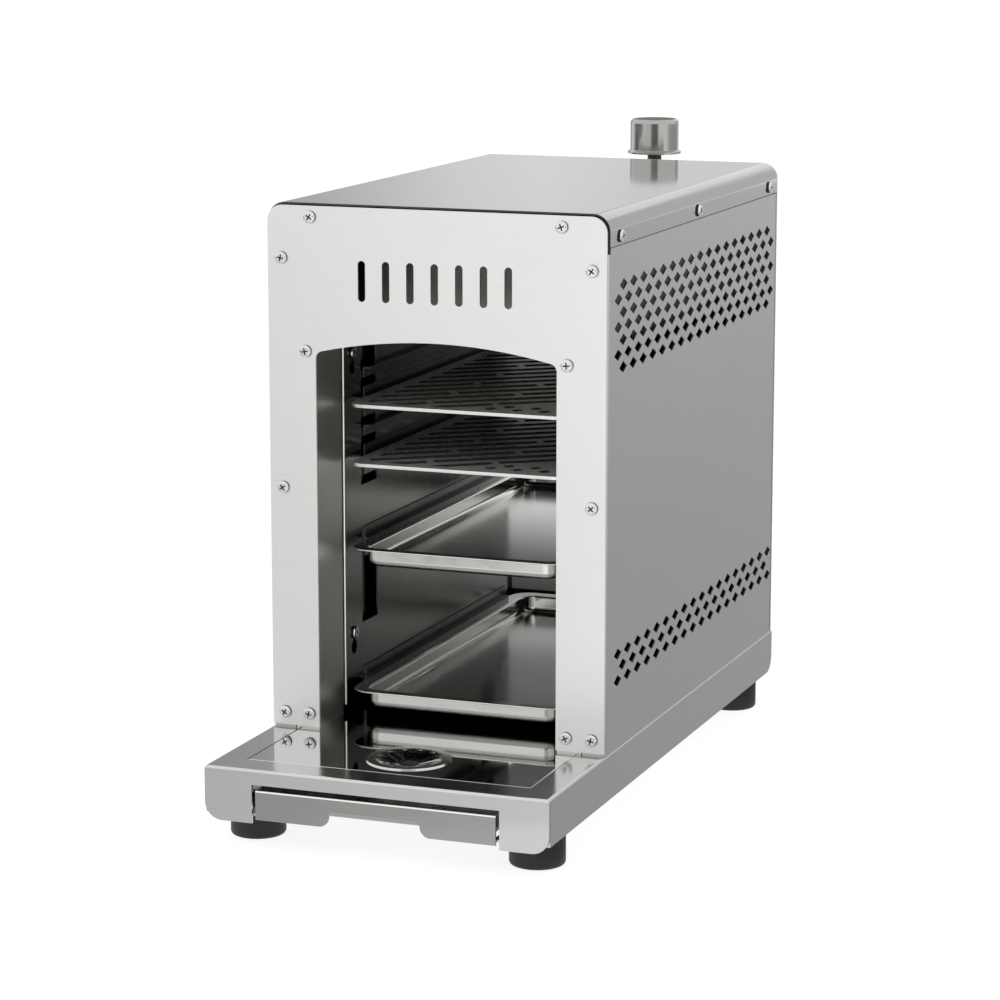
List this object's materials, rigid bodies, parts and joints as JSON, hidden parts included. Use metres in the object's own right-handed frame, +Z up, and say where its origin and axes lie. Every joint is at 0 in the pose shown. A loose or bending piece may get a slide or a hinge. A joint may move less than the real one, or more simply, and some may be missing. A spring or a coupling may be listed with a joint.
{
  "type": "overhead gas grill",
  "caption": "Tall narrow steel gas grill, open in front, with a roof burner, sliding grates and trays on side racks, a grease drawer and a rear gas valve with a knob.",
  "frame": {"origin": "middle of the part's footprint, on the surface that it stands on", "axes": "+X to the grill's right seen from the front, +Y from its open front to its back, +Z up"},
  "size_m": [0.2344, 0.5932, 0.4188],
  "materials": {
    "stainless_front": "brushed",
    "stainless_case": "satin",
    "stainless_cover": "polished",
    "stainless_mirror": "mirror",
    "stainless_inner": "satin",
    "stainless_tray": "satin",
    "stainless_grate": "satin",
    "burner_steel": "matte",
    "burner_ceramic": "unglazed ceramic",
    "screw_steel": "polished",
    "valve_metal": "cast",
    "brass_fitting": "machined",
    "copper_tube": "drawn",
    "knob_steel": "turned",
    "dark_plastic": "moulded",
    "red_button": "moulded",
    "lead_sleeve": "silicone",
    "foot_rubber": "moulded"
  },
  "bodies": {
    "housing": {"front_plate": "stainless_front", "right_side_panel": "stainless_case", "left_side_panel": "stainless_case", "rear_panel": "stainless_case", "front_rail": "stainless_case", "base_pan": "stainless_case", "drawer_runners": "stainless_case", "valve_bracket": "stainless_case", "top_cover": "stainless_cover", "drip_plate": "stainless_mirror", "drain_strainer": "stainless_mirror", "right_jamb": "stainless_inner", "left_jamb": "stainless_inner", "right_liner": "stainless_inner", "left_liner": "stainless_inner", "rear_liner": "stainless_inner", "heat_shield": "stainless_inner", "right_rack": "stainless_inner", "left_rack": "stainless_inner", "right_rack_rails": "stainless_inner", "left_rack_rails": "stainless_inner", "burner_hangers": "stainless_inner", "burner_housing": "burner_steel", "burner_frame": "burner_steel", "mixing_tube": "burner_steel", "burner_tiles": "burner_ceramic", "electrode_insulator": "burner_ceramic", "front_plate_screws": "screw_steel", "cover_screws": "screw_steel", "rear_panel_screws": "screw_steel", "base_screws": "screw_steel", "bracket_screws": "screw_steel", "rack_pins": "screw_steel", "foot_screws": "screw_steel", "foot_nuts": "screw_steel", "electrode_pin": "screw_steel", "valve_body": "valve_metal", "injector": "brass_fitting", "gas_inlet": "brass_fitting", "thermocouple": "copper_tube", "igniter_body": "dark_plastic", "igniter_nut": "dark_plastic", "ignition_lead": "lead_sleeve", "feet": "foot_rubber"},
    "upper_grate": {"upper_grate": "stainless_grate"},
    "lower_grate": {"lower_grate": "stainless_grate"},
    "upper_tray": {"upper_tray": "stainless_tray"},
    "lower_tray": {"lower_tray": "stainless_tray"},
    "drawer": {"drawer_front": "stainless_case", "drawer_pan": "stainless_case"},
    "push_collar": {"stem_collar": "valve_metal", "stem_spring": "screw_steel"},
    "gas_knob": {"knob_cap": "knob_steel", "knob_hub": "dark_plastic", "valve_stem": "valve_metal"},
    "igniter_button": {"igniter_button": "red_button"}
  },
  "joints": [
    {"name": "upper_grate_slide", "type": "slide", "parent": "housing", "child": "upper_grate", "axis": [0, -1, 0], "range_m": [0, 0.24]},
    {"name": "lower_grate_slide", "type": "slide", "parent": "housing", "child": "lower_grate", "axis": [0, -1, 0], "range_m": [0, 0.24]},
    {"name": "upper_tray_slide", "type": "slide", "parent": "housing", "child": "upper_tray", "axis": [0, -1, 0], "range_m": [0, 0.24]},
    {"name": "lower_tray_slide", "type": "slide", "parent": "housing", "child": "lower_tray", "axis": [0, -1, 0], "range_m": [0, 0.24]},
    {"name": "drawer_slide", "type": "slide", "parent": "housing", "child": "drawer", "axis": [0, -1, 0], "range_m": [0, 0.09]},
    {"name": "knob_push", "type": "slide", "parent": "housing", "child": "push_collar", "axis": [0, 0, -1], "range_m": [0, 0.004], "stiffness_N_per_m": 1200, "springref_m": -0.004, "deforming": ["stem_spring"]},
    {"name": "knob_turn", "type": "hinge", "parent": "push_collar", "child": "gas_knob", "pos_m": [0, 0.25355, 0.40326], "axis": [0, 0, 1], "range_deg": [0, 210]},
    {"name": "igniter_press", "type": "slide", "parent": "housing", "child": "igniter_button", "axis": [0, 0, -1], "range_m": [0, 0.005], "stiffness_N_per_m": 800, "springref_m": -0.003}
  ]
}
